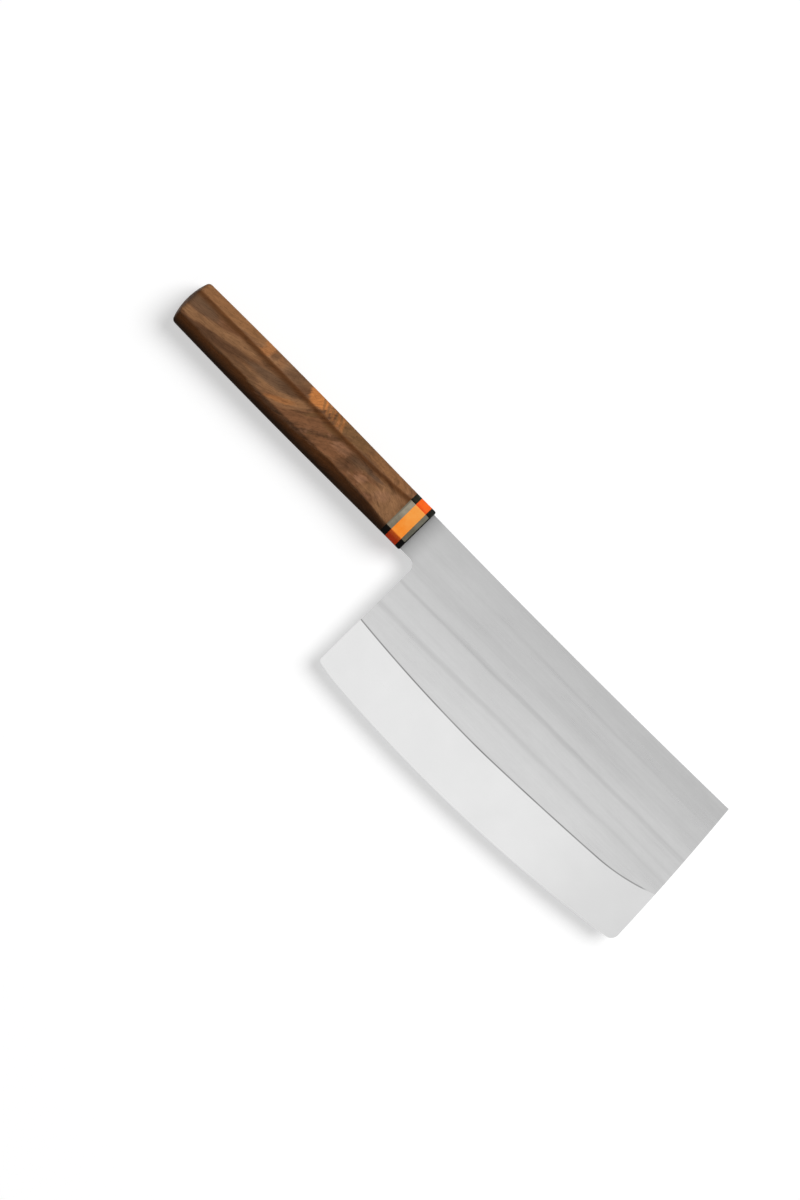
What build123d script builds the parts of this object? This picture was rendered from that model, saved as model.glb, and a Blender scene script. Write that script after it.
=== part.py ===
from build123d import *
from math import asin, cos, degrees, sin, sqrt
import os

# A wide-bladed kitchen cleaver with a hidden tang, lying on its side as it would on a table.
# X runs from the butt of the handle to the tip of the blade, the cutting edge faces -Y and +Z is up.
# The origin is the middle of the flat underside of the wooden handle body. Sizes are in millimetres.

# Handle: an octagon in section, whose upper and lower flats are level. The body is lofted a hair
# thicker than that, then planed
handle_thickness = 20.0
planing_allowance = 0.005
wood_length = 129.4
rear_liner_width = 3.0
spacer_width = 6.0
front_ring_width = 2.6
front_ring_easing = 0.8

# Stations of the wooden body: distance behind its front end, then half its height, half its main flat
# and the radius of its eased ridges
handle_stations = (
    (0.0, 11.3, 7.4, 0.9),
    (10.0, 11.4, 6.5, 0.9),
    (27.0, 11.6, 5.7, 1.0),
    (75.0, 11.9, 6.1, 1.3),
    (wood_length + 1.0, 11.35, 6.1, 2.0),
)
front_half_height, front_half_flat, front_ridge_radius = handle_stations[0][1:]

# Butt end of the body: a shallow dome with a soft rim
butt_dome_radius = 31.0
butt_easing = 2.1

# Blade: stamped from flat sheet, so both sides are level above the grind
blade_thickness = 2.0
blade_edge_thickness = 0.16
spine_easing = 0.25

# Side view of the blade, from the front face of the front ring and from the middle of the handle
neck_top = (0.0, 10.05)
spine_middle = (90.0, 9.95)
spine_tip = (179.1, 11.4)
front_middle = (182.3, -26.0)
front_foot = (184.5, -64.1)
belly = (77.0, -72.8)
heel_turn = (25.5, -71.3)
heel_foot = (9.8, -69.2)
neck_bottom = (0.0, -10.5)
front_corner_radius = 4.0
heel_corner_radius = 1.8
neck_fillet_radius = 4.0

# Grind: a long even sweep from the heel, then a tighter one that climbs to the front of the blade
grind_turn = (157.0, -42.9)
grind_long_radius = 764.0
grind_short_radius = 105.0
grind_lowest_x = 78.8
grind_height = 25.6
step_width = 0.9
step_depth = 0.12
step_sag = 0.03
hollow_depth = 0.1

# Tang, and the slotted dowel that it is bedded in
tang_length = 80.0
tang_thickness = 1.8
tang_root_width = 8.6
tang_end_width = 6.0
tang_end_radius = 2.0
tang_slot_clearance = 0.05
dowel_radius = 5.0
dowel_slot_width = 2.8
dowel_closed_end = 6.0
bore_end_gap = 2.0

# Places worked out from the sizes above
handle_mid_z = handle_thickness / 2
wood_front_x = wood_length / 2
wood_butt_x = -wood_length / 2
spacer_rear_x = wood_front_x + rear_liner_width
front_ring_rear_x = spacer_rear_x + spacer_width
front_ring_face_x = front_ring_rear_x + front_ring_width
tang_end_x = front_ring_face_x - tang_length
slot_end_x = tang_end_x - 1.0
dowel_end_x = slot_end_x - dowel_closed_end
bore_end_x = dowel_end_x - bore_end_gap

os.makedirs("parts", exist_ok=True)


# Corners of the handle's octagon in the YZ plane, with bevels at 45 degrees
def octagon_corners(half_height, half_flat, allowance=0.0):
    bevel = half_height - half_flat
    bottom, top = -allowance, handle_thickness + allowance
    return (
        (half_flat, bottom),
        (half_height, bottom + bevel),
        (half_height, top - bevel),
        (half_flat, top),
        (-half_flat, top),
        (-half_height, top - bevel),
        (-half_height, bottom + bevel),
        (-half_flat, bottom),
    )


# A slice of the handle's front end, bored through for the dowel
def bored_ring(rear_x, width):
    with BuildPart() as ring:
        with BuildSketch(Plane.YZ.offset(rear_x)) as outline:
            Polygon(*octagon_corners(front_half_height, front_half_flat), align=None)
            fillet(outline.vertices(), front_ridge_radius)
            with Locations((0, handle_mid_z)):
                Circle(dowel_radius, mode=Mode.SUBTRACT)
        extrude(amount=width)
    return ring


# Wooden body: a loft through the stations, domed at the butt and bored from the front
with BuildPart() as handle_body:
    for distance, half_height, half_flat, ridge_radius in handle_stations:
        with BuildSketch(Plane.YZ.offset(wood_front_x - distance)) as station:
            Polygon(*octagon_corners(half_height, half_flat, planing_allowance), align=None)
            fillet(station.vertices(), ridge_radius)
    loft()
    split(bisect_by=Plane.XY, keep=Keep.TOP)
    split(bisect_by=Plane.XY.offset(handle_thickness), keep=Keep.BOTTOM)

    dome_reach = 20.0
    dome_sag = butt_dome_radius - sqrt(butt_dome_radius**2 - dome_reach**2)
    dome_middle_angle = asin(dome_reach / butt_dome_radius) / 2
    dome_middle = (
        wood_butt_x + butt_dome_radius * (1 - cos(dome_middle_angle)),
        butt_dome_radius * sin(dome_middle_angle),
    )
    with BuildSketch(Plane.XY.offset(handle_mid_z)):
        with BuildLine():
            ThreePointArc((wood_butt_x, 0), dome_middle, (wood_butt_x + dome_sag, dome_reach))
            Polyline(
                (wood_butt_x + dome_sag, dome_reach),
                (wood_butt_x - dome_reach, dome_reach),
                (wood_butt_x - dome_reach, 0),
                (wood_butt_x, 0),
            )
        make_face()
    revolve(axis=Axis((0, 0, handle_mid_z), (1, 0, 0)), mode=Mode.SUBTRACT)

    butt_rim = handle_body.faces().sort_by(Axis.X)[0].outer_wire().edges()
    fillet(butt_rim, butt_easing)

    with BuildSketch(Plane.YZ.offset(bore_end_x)):
        with Locations((0, handle_mid_z)):
            Circle(dowel_radius)
    extrude(amount=wood_front_x - bore_end_x, mode=Mode.SUBTRACT)

handle_body.part.label = "handle_body"
export_step(handle_body.part, "parts/handle_body.step")


# Dark liner between the wood and the bright spacer
rear_liner = bored_ring(wood_front_x, rear_liner_width)
rear_liner.part.label = "rear_liner"
export_step(rear_liner.part, "parts/rear_liner.step")


# Bright orange spacer
orange_spacer = bored_ring(spacer_rear_x, spacer_width)
orange_spacer.part.label = "orange_spacer"
export_step(orange_spacer.part, "parts/orange_spacer.step")


# Dark front ring: slotted for the tang alone, so it hides the end of the dowel
with BuildPart() as front_ring:
    with BuildSketch(Plane.YZ.offset(front_ring_rear_x)) as outline:
        Polygon(*octagon_corners(front_half_height, front_half_flat), align=None)
        fillet(outline.vertices(), front_ridge_radius)
    extrude(amount=front_ring_width)
    fillet(front_ring.faces().sort_by(Axis.X)[-1].outer_wire().edges(), front_ring_easing)
    with BuildSketch(Plane.YZ.offset(front_ring_rear_x)):
        with Locations((0, handle_mid_z)):
            Rectangle(
                tang_root_width + 2 * tang_slot_clearance,
                tang_thickness + 2 * tang_slot_clearance,
            )
    extrude(amount=front_ring_width, mode=Mode.SUBTRACT)

front_ring.part.label = "front_ring"
export_step(front_ring.part, "parts/front_ring.step")


# Blade and tang: one plate, ground on both sides
with BuildPart() as blade:
    blade_plane = Plane(origin=(front_ring_face_x, 0, handle_mid_z))
    with BuildSketch(blade_plane) as side_view:
        with BuildLine():
            ThreePointArc(neck_top, spine_middle, spine_tip)
            ThreePointArc(spine_tip, front_middle, front_foot)
            cutting_edge = ThreePointArc(heel_turn, belly, front_foot)
            TangentArc(heel_turn, heel_foot, tangent=-(cutting_edge % 0))
            Polyline(heel_foot, (heel_foot[0], neck_bottom[1]), neck_bottom, neck_top)
        make_face()
        fillet(side_view.vertices().sort_by_distance(front_foot)[0], front_corner_radius)
        fillet(side_view.vertices().sort_by_distance(heel_foot)[0], heel_corner_radius)
        neck_corner = (heel_foot[0], neck_bottom[1])
        fillet(side_view.vertices().sort_by_distance(neck_corner)[0], neck_fillet_radius)
    extrude(amount=blade_thickness / 2, both=True)

    # Long corners of the plate, all but those against the front ring, are broken before grinding
    level_sides = blade.faces().filter_by(Axis.Z)
    rim = ShapeList(edge for face in level_sides for edge in face.outer_wire().edges())
    fillet(rim.filter_by(lambda edge: edge.center().X > front_ring_face_x + 0.1), spine_easing)

    # The grind's section lies across the blade where the two sweeps meet
    lean = asin((grind_turn[0] - grind_lowest_x) / grind_long_radius)
    across = (sin(lean), -cos(lean), 0)
    along = (-cos(lean), -sin(lean), 0)
    grind_origin = Vector(front_ring_face_x + grind_turn[0], grind_turn[1], handle_mid_z)
    grind_plane = Plane(origin=grind_origin, x_dir=across, z_dir=along)
    sweeps = (
        (grind_long_radius, -1, 15.0),
        (grind_short_radius, 1, 40.0),
    )
    half = blade_thickness / 2
    slope = (half - step_depth - blade_edge_thickness / 2) / (grind_height - step_width)
    reach = grind_height + 6.0
    for side in (1, -1):
        for radius, turn, turn_degrees in sweeps:
            with BuildSketch(grind_plane):
                with BuildLine():
                    shoulder = (0, side * half)
                    step_foot = (step_width, side * (half - step_depth))
                    edge_point = (grind_height, side * blade_edge_thickness / 2)
                    reach_point = (reach, edge_point[1] - side * slope * (reach - grind_height))
                    step_middle = (
                        step_width / 2,
                        side * (half - step_depth / 2 - step_sag),
                    )
                    hollow_middle = (
                        (step_width + grind_height) / 2,
                        (step_foot[1] + edge_point[1]) / 2 - side * hollow_depth,
                    )
                    ThreePointArc(shoulder, step_middle, step_foot)
                    ThreePointArc(step_foot, hollow_middle, edge_point)
                    Polyline(
                        edge_point,
                        reach_point,
                        (reach, side * (half + 1.0)),
                        (0, side * (half + 1.0)),
                        shoulder,
                    )
                make_face()
            centre = grind_origin - Vector(*across) * radius
            revolve(
                axis=Axis(centre, (0, 0, turn)),
                revolution_arc=turn_degrees,
                mode=Mode.SUBTRACT,
            )

    # Tang: narrower and thinner than the neck, so the neck's shoulders stop against the front ring
    with BuildSketch(blade_plane) as tang_view:
        Polygon(
            (0, tang_root_width / 2),
            (-tang_length, tang_end_width / 2),
            (-tang_length, -tang_end_width / 2),
            (0, -tang_root_width / 2),
            align=None,
        )
        fillet(tang_view.vertices().group_by(Axis.X)[0], tang_end_radius)
    extrude(amount=tang_thickness / 2, both=True)

blade.part.label = "blade"
export_step(blade.part, "parts/blade.step")


# Dowel: centres the rings on the body and is slotted from the front for the tang
with BuildPart() as tang_dowel:
    with BuildSketch(Plane.YZ.offset(dowel_end_x)):
        with Locations((0, handle_mid_z)):
            Circle(dowel_radius)
    extrude(amount=front_ring_rear_x - dowel_end_x)
    with BuildSketch(Plane.YZ.offset(slot_end_x)):
        with Locations((0, handle_mid_z)):
            Rectangle(2 * dowel_radius + 1, dowel_slot_width)
    extrude(amount=front_ring_rear_x - slot_end_x, mode=Mode.SUBTRACT)

tang_dowel.part.label = "tang_dowel"
export_step(tang_dowel.part, "parts/tang_dowel.step")


# Cured adhesive that fills the dowel's slot around the tang
with BuildPart() as tang_bedding:
    with BuildSketch(Plane.YZ.offset(slot_end_x)):
        with Locations((0, handle_mid_z)):
            Circle(dowel_radius)
            Rectangle(2 * dowel_radius, dowel_slot_width, mode=Mode.INTERSECT)
    extrude(amount=front_ring_rear_x - slot_end_x)
    add(blade.part, mode=Mode.SUBTRACT)

tang_bedding.part.label = "tang_bedding"
export_step(tang_bedding.part, "parts/tang_bedding.step")
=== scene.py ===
from itertools import accumulate
from math import acos, asin, atan2, cos, dist, pi, radians, sin, sqrt, tan
from types import SimpleNamespace

import bmesh
import bpy
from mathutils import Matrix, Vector


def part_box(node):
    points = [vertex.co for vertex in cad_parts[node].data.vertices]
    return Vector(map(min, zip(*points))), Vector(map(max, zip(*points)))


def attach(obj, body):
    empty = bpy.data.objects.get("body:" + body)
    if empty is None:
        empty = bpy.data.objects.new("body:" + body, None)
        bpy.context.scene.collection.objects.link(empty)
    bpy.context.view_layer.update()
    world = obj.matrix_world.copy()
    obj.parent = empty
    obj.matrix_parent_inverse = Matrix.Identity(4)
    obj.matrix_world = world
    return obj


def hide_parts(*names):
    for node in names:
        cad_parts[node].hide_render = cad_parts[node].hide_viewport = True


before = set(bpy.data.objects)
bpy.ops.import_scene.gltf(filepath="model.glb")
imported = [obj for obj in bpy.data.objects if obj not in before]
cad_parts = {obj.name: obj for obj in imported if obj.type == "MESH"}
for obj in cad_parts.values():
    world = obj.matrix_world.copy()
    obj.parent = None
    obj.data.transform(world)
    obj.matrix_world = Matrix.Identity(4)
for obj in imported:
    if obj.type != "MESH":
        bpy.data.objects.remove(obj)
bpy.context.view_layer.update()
mm = 0.001
bodyLow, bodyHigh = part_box("handle_body")
midZ = (bodyLow.z + bodyHigh.z) / 2      # the blade's middle plane
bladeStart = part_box("front_ring")[1].x   # front face of the front ring
print("frame loaded, ring face at", round(bladeStart, 4))


# camera: straight above, turned so that the blade points down and to the right as in the photograph
cameraPlan = {
    "photoWidth": 800,
    "photoHeight": 1200,
    "mmPerPixel": 0.43,
    "ringFaceAt": (435.8, 513.3),     # pixel of the handle's axis line at the spine side of the ring face
    "ringFaceDrop": 25.6,             # pixels from that point to the middle of the handle
    "turn": 45.4,                     # degrees from the picture's horizontal to the knife's length
    "lens": 135.0,
    "focusHeight": 12.0 * mm,         # height at which the scale above holds
}


def makeCamera(plan):
    turn = radians(plan["turn"])
    scale = plan["mmPerPixel"] * mm
    right = Vector((cos(turn), sin(turn), 0))
    up = Vector((-sin(turn), cos(turn), 0))
    ringFace = Vector((bladeStart, plan["ringFaceDrop"] * scale, 0))
    pixelX, pixelY = plan["ringFaceAt"]
    towardCentre = right * (plan["photoWidth"] / 2 - pixelX) - up * (plan["photoHeight"] / 2 - pixelY)
    centre = ringFace + towardCentre * scale
    data = bpy.data.cameras.new("photoCamera")
    data.lens = plan["lens"]
    halfAngle = data.sensor_width / 2 / data.lens
    distance = plan["photoHeight"] / 2 * scale / halfAngle
    data.clip_start, data.clip_end = 0.05, 20
    camera = bpy.data.objects.new("photoCamera", data)
    camera.location = (centre.x, centre.y, plan["focusHeight"] + distance)
    camera.rotation_euler = (0, 0, turn)
    bpy.context.scene.collection.objects.link(camera)
    bpy.context.scene.camera = camera


makeCamera(cameraPlan)
print("camera placed")


# a value on its way through a node tree: a sum of two adds a math node to the tree that they are in
class Wire:
    def __init__(self, socket):
        self.socket = socket
        self.tree = socket.id_data
        self.wide = socket.type in ("VECTOR", "RGBA")

    def __add__(self, other):
        return reckon("ADD", self, other)

    def __sub__(self, other):
        return reckon("SUBTRACT", self, other)

    def __rsub__(self, other):
        return reckon("SUBTRACT", other, self)

    def __mul__(self, other):
        return reckon("MULTIPLY", self, other)

    def __truediv__(self, other):
        return reckon("DIVIDE", self, other)


def reckon(operation, first, second):
    wide = [value.wide if isinstance(value, Wire) else isinstance(value, tuple) for value in (first, second)]
    if not any(wide):
        return calc(operation, first, second)
    if all(wide):
        return calcVector(operation, first, second)
    return calcVector("SCALE", first, scale=second)   # a vector times a number


# small helpers for node trees
def fill(socket, value):
    if isinstance(value, Wire):
        value.tree.links.new(value.socket, socket)
    elif value is not None:
        socket.default_value = value


def fillNamed(sockets, values):
    for name, value in values.items():
        fill(sockets[name], value)


def addNode(tree, kind, *values, **settings):
    node = tree.nodes.new(kind)
    for name, setting in settings.items():
        setattr(node, name, setting)
    for socket, value in zip(node.inputs, values):
        fill(socket, value)
    return node


def treeOf(*values):
    return next(value.tree for value in values if isinstance(value, Wire))


def calc(operation, *values, clamp=False):
    node = addNode(treeOf(*values), "ShaderNodeMath", *values, operation=operation, use_clamp=clamp)
    return Wire(node.outputs[0])


def calcVector(operation, first, second=None, scale=None):
    tree = treeOf(first, second, scale)
    node = addNode(tree, "ShaderNodeVectorMath", first, second, None, scale, operation=operation)
    return Wire(node.outputs[1 if operation == "LENGTH" else 0])


def remap(value, fromLow, fromHigh, toLow=0.0, toHigh=1.0, kind="LINEAR"):
    values = (value, fromLow, fromHigh, toLow, toHigh)
    return Wire(addNode(treeOf(*values), "ShaderNodeMapRange", *values, interpolation_type=kind).outputs[0])


# a remap that starts and ends softly
def fade(value, fromLow, fromHigh, toLow=0.0, toHigh=1.0):
    return remap(value, fromLow, fromHigh, toLow, toHigh, "SMOOTHSTEP")


# a smooth curve through a few points, each given as how far along and how high, within a reach and a height
def followCurve(value, points, reach, height):
    node = addNode(value.tree, "ShaderNodeFloatCurve")
    curve = node.mapping.curves[0].points
    while len(curve) < len(points):
        curve.new(0.5, 0.5)
    for point, (along, high) in zip(curve, points):
        point.location = (along / reach, high / height)
    node.mapping.update()
    fill(node.inputs["Value"], value / reach)
    return Wire(node.outputs[0]) * height


def combine(x, y, z):
    return Wire(addNode(treeOf(x, y, z), "ShaderNodeCombineXYZ", x, y, z).outputs[0])


def separate(vector):
    return [Wire(socket) for socket in addNode(vector.tree, "ShaderNodeSeparateXYZ", vector).outputs]


def blendColor(share, first, second, mode="MIX"):
    tree = treeOf(share, first, second)
    node = addNode(tree, "ShaderNodeMix", share, data_type="RGBA", blend_type=mode)
    for socket, value in zip([socket for socket in node.inputs if socket.type == "RGBA"], (first, second)):
        fill(socket, value)
    return Wire(next(socket for socket in node.outputs if socket.type == "RGBA"))


def shadeColor(color, shade):
    return blendColor(1.0, color, combine(shade, shade, shade), "MULTIPLY")


def noise(vector, scale, detail=2.0, roughness=0.5, output="Fac"):
    node = addNode(vector.tree, "ShaderNodeTexNoise")
    fillNamed(node.inputs, {"Vector": vector, "Scale": scale, "Detail": detail, "Roughness": roughness})
    return Wire(node.outputs[output])


# a mask turned into a little more or less, evenly to both sides of nothing
def sway(mask, depth):
    return remap(mask, 0, 1, -depth, depth)


def readAttribute(tree, name):
    return Wire(addNode(tree, "ShaderNodeAttribute", attribute_name=name).outputs["Fac"])


def bump(height, distance, strength):
    node = addNode(height.tree, "ShaderNodeBump")
    fillNamed(node.inputs, {"Height": height, "Distance": distance, "Strength": strength})
    return Wire(node.outputs[0])


# a socket's name as a script writes it, such as halfFlat for Half Flat
def plainName(socket):
    return socket.name[:1].lower() + socket.name[1:].replace(" ", "")


def wiresOf(sockets):
    return SimpleNamespace(**{plainName(socket): Wire(socket) for socket in sockets if socket.name})


def useGroup(group, **values):
    tree = treeOf(*values.values())
    node = addNode(tree, tree.bl_idname.replace("Tree", "Group"), node_tree=group)
    for socket in node.inputs:
        fill(socket, values.get(plainName(socket)))
    return wiresOf(node.outputs)


# each input and output comes with its default value, or with the name of its kind
def startGroup(name, kind, inputs, outputs):
    group = bpy.data.node_groups.new(name, kind)
    kinds = {int: "Int", float: "Float", tuple: "Vector"}
    for direction, sockets in (("INPUT", inputs), ("OUTPUT", outputs)):
        for label, value in sockets.items():
            socketType = "NodeSocket" + kinds.get(type(value), value)
            socket = group.interface.new_socket(label, in_out=direction, socket_type=socketType)
            if not isinstance(value, str):
                socket.default_value = value
    given = wiresOf(group.nodes.new("NodeGroupInput").outputs)
    return group, given, group.nodes.new("NodeGroupOutput").inputs


# sockets without a default value, listed by kind
def socketKinds(**kinds):
    return {name: kind for kind, names in kinds.items() for name in names.split(", ")}


# the place that comes back is in millimetres
def startMaterial(name):
    material = bpy.data.materials.new(name)
    material.use_nodes = True
    tree = material.node_tree
    place = Wire(addNode(tree, "ShaderNodeTexCoord").outputs["Object"]) * 1000.0
    return material, tree.nodes["Principled BSDF"].inputs, place


def sRgb(red, green, blue):
    channels = [c / 255 for c in (red, green, blue)]
    return (*(c / 12.92 if c <= 0.04045 else ((c + 0.055) / 1.055) ** 2.4 for c in channels), 1.0)


def toColors(levels):
    return {name: sRgb(*channels) for name, channels in levels.items()}


def linkPiece(name, mesh):
    piece = bpy.data.objects.new(name, mesh)
    bpy.context.scene.collection.objects.link(piece)
    return piece


def bakeModifiers(piece):
    weighted = piece.modifiers.new("weightedNormals", "WEIGHTED_NORMAL")
    weighted.keep_sharp = True
    bpy.context.view_layer.update()
    graph = bpy.context.evaluated_depsgraph_get()
    evaluated = piece.evaluated_get(graph)
    mesh = bpy.data.meshes.new_from_object(evaluated, preserve_all_data_layers=True, depsgraph=graph)
    mesh.name = piece.name
    if len(mesh.materials) > 1 and mesh.materials[0] is None:
        mesh.materials.pop(index=0)   # the empty slot that a grid starts with
    piece.modifiers.clear()
    piece.data = mesh
    return piece


# handle: an octagon in section, with level flats above and below and every ridge eased
handlePlan = {
    "stations": (                     # behind the front end, then half height, half main flat, ridge radius
        (0.0, 11.3, 7.4, 0.9),
        (10.0, 11.4, 6.5, 0.9),
        (27.0, 11.6, 5.7, 1.0),
        (75.0, 11.9, 6.1, 1.3),
        (129.4, 11.35, 6.1, 2.0),
    ),
    "domeRadius": 31.0,
    "rimEasing": 2.1,
    "boreRadius": 5.0,
    "boreEndX": -12.7,
    "ridgeSteps": 6,
    "domeRows": 10,
    "rimRows": 8,
    "sideRows": 64,
}


# effects that several finishes share, each a group with its own inputs
def makeGrainGroup():
    group, given, result = startGroup(
        "stretchedGrain", "ShaderNodeTree",
        {
            "Vector": "Vector", "Length": 10.0, "Width": 1.0, "Depth": 1.0,
            "Detail": 2.0, "Low": 0.3, "High": 0.7,
        },
        {"Mask": "Float"},
    )
    size = combine(given.length, given.width, given.depth)
    fine = noise(given.vector / size, 1.0, given.detail, 0.55)
    fill(result["Mask"], remap(fine, given.low, given.high))
    return group


def makePatchGroup():
    group, given, result = startGroup(
        "softPatch", "ShaderNodeTree",
        {
            "Vector": "Vector", "Centre": (0, 0, 0), "Reach": (10, 10, 10), "Turn": 0.0,
            "Softness": 0.5, "Strength": 1.0, "Ragged": 0.0,
        },
        {"Mask": "Float"},
    )
    turned = addNode(group, "ShaderNodeVectorRotate", given.vector - given.centre, rotation_type="Z_AXIS")
    fill(turned.inputs["Angle"], given.turn * -1)
    far = calcVector("LENGTH", Wire(turned.outputs[0]) / given.reach) + given.ragged
    shape = fade(far, 1 - given.softness, given.softness + 1, 1, 0)
    fill(result["Mask"], shape * given.strength)
    return group


def makeHandlingGroup():
    group, given, result = startGroup(
        "handlingMarks", "ShaderNodeTree",
        {"Vector": "Vector", "Base Roughness": 0.2, "Smudge": 0.05, "Scratch": 0.05},
        {"Roughness": "Float", "Scratches": "Float"},
    )
    smudge = noise(given.vector, 0.09, 3.0, 0.6) - 0.5
    bent = given.vector + noise(given.vector, 0.15, 1.0, 0.5, "Color") * 9.0
    hair = addNode(group, "ShaderNodeTexVoronoi", bent / (9.0, 1.6, 1.6), feature="DISTANCE_TO_EDGE")
    fill(hair.inputs["Scale"], 1.0)
    scratches = remap(Wire(hair.outputs["Distance"]), 0.0, 0.018, 1, 0)
    rough = smudge * given.smudge + given.baseRoughness
    rough = calc("MULTIPLY_ADD", scratches, given.scratch, rough, clamp=True)
    fillNamed(result, {"Roughness": rough, "Scratches": scratches})
    return group


grainGroup = makeGrainGroup()
patchGroup = makePatchGroup()
handlingGroup = makeHandlingGroup()
print("shared effects built")


# finish of the blade: rolled satin flats, a finer and paler grind, and a thin painted shade line along its
# shoulder
steelPlan = {
    "spineColor": sRgb(186, 186, 186),
    "lowColor": sRgb(206, 206, 206),      # the flat's last stretch above the grind
    "grindColor": sRgb(229, 229, 229),
    "grindTipColor": sRgb(215, 215, 215),
    "grindTip": (190, 262),               # x over which the grind dulls towards the tip
    "shoulderColor": sRgb(130, 130, 130),
    "streakColor": sRgb(160, 160, 160),
    "dullColor": sRgb(134, 134, 134),     # painted shade on the blade by the front ring, standing in for its shadow and dark reflection
    "dullReach": 10.0,
    "dullShare": 0.5,
    "flatRoughness": 0.3,
    "grindRoughness": 0.24,
    "shoulderWidth": 0.36,
    "shoulderEndX": 256.5,
    "rolledGrain": {"length": 160.0, "width": 1.1, "depth": 40.0, "detail": 4.0},
    "fineGrain": {"length": 2.6, "width": 0.9, "depth": 3.0, "detail": 2.0},
    "brushedGrain": {"length": 14.0, "width": 0.12, "depth": 1.0, "detail": 1.0},
    "cloudSize": (34.0, 9.0, 20.0),
    "streakWander": (60.0, 1.6, 0.0),
    "streaks": (                      # centre x and y, half length, half width, slope in degrees, strength
        (190.0, -0.6, 75.0, 0.7, 0.3, 0.3),
        (165.0, -10.3, 120.0, 3.4, 0.5, 0.17),
        (168.0, -19.2, 115.0, 0.9, 0.6, 0.4),
        (160.0, -32.2, 110.0, 1.0, 0.7, 0.25),
        (236.0, 6.0, 40.0, 4.5, 0.4, 0.16),
        (254.0, -31.0, 24.0, 9.0, 14.0, 0.16),
    ),
}


def makeSteel(plan):
    material, shader, place = startMaterial("satinSteel")
    distance = readAttribute(place.tree, "grindDistance")
    x, y, _ = separate(place)
    ground = fade(distance, 0.1, 0.5)

    color = blendColor(remap(y, 8, -40), plan["spineColor"], plan["lowColor"])
    wander = noise(place, 0.03, 2.0, 0.5, "Color") - (0.5, 0.5, 0.5)
    drifted = place + wander * plan["streakWander"]
    rolled = useGroup(grainGroup, vector=place, **plan["rolledGrain"]).mask
    frayed = sway(rolled, 0.25)
    for centreX, centreY, halfLength, halfWidth, slope, strength in plan["streaks"]:
        mask = useGroup(
            patchGroup, vector=drifted, centre=(centreX, centreY, midZ / mm), turn=radians(slope),
            reach=(halfLength, halfWidth, 20.0), softness=0.95, strength=strength, ragged=frayed,
        ).mask
        color = blendColor(mask, color, plan["streakColor"])
    cloud = noise(place / plan["cloudSize"], 1.0, 3.0, 0.6)
    fine = useGroup(grainGroup, vector=place, **plan["fineGrain"]).mask
    shade = sway(rolled, 0.02) + remap(cloud, 0.3, 0.7, 0.975, 1.025) + sway(fine, 0.012)
    color = shadeColor(color, shade)
    # painted shade of the front ring, darkening the blade next to its face
    ringShade = fade(x - bladeStart / mm, plan["dullReach"], 0.5) * plan["dullShare"]
    color = blendColor(ringShade, color, plan["dullColor"])

    grindTone = blendColor(fade(x, *plan["grindTip"]), plan["grindColor"], plan["grindTipColor"])
    haze = remap(noise(place, 0.045, 3.0, 0.55), 0.3, 0.7, 0.98, 1.02)
    color = blendColor(ground, color, shadeColor(grindTone, haze))

    # a thin line of painted shade along the grind's shoulder step, where the step would shade itself
    width, endX = plan["shoulderWidth"], plan["shoulderEndX"]
    shoulderShade = fade(calc("ABSOLUTE", distance - width / 2), width / 3, width * 1.25, 1, 0)
    shoulderShade = shoulderShade * fade(x, endX, endX - 4)
    shoulderShade = shoulderShade * remap(noise(place, 0.05, 1.0), 0.35, 0.65, 0.7, 1.0)

    flow = Wire(addNode(place.tree, "ShaderNodeUVMap", uv_map="flow").outputs[0]) * 100.0
    brushed = useGroup(grainGroup, vector=flow, **plan["brushedGrain"]).mask
    rough = remap(ground, 0, 1, plan["flatRoughness"], plan["grindRoughness"])
    rough = rough + sway(brushed, 0.02) + remap(cloud, 0.3, 0.7, -0.02, 0.02)
    fillNamed(shader, {
        "Base Color": blendColor(shoulderShade, color, plan["shoulderColor"]),
        "Metallic": 1.0,
        "Roughness": rough,
        "Normal": bump(brushed, 0.000001, 0.3),
    })
    return material
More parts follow.
